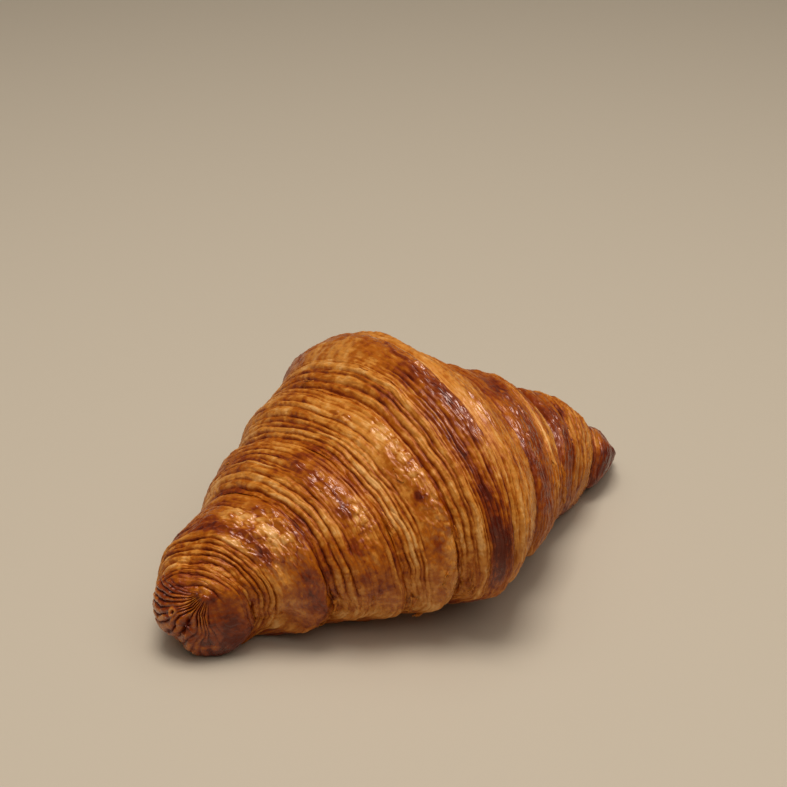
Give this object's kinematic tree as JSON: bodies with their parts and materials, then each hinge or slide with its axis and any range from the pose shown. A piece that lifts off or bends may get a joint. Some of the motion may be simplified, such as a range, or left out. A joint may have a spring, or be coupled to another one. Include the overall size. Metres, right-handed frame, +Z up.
{
  "type": "croissant",
  "caption": "Baked butter croissant: overlapping rolled bands with ridged cut layers, a curled pleated end and a pointed end, on a flat underside.",
  "frame": {"origin": "centre of the bounding box in plan, on the flat underside", "axes": "+X from the curled end to the pointed end, along the row of bands; +Z up; -Y is the side the curled end turns towards"},
  "size_m": [0.154, 0.0954, 0.0649],
  "materials": {
    "crust": "baked golden-brown crust, egg-washed satin with glossy darker lips"
  },
  "bodies": {
    "root": {"croissant": "crust"}
  },
  "joints": []
}
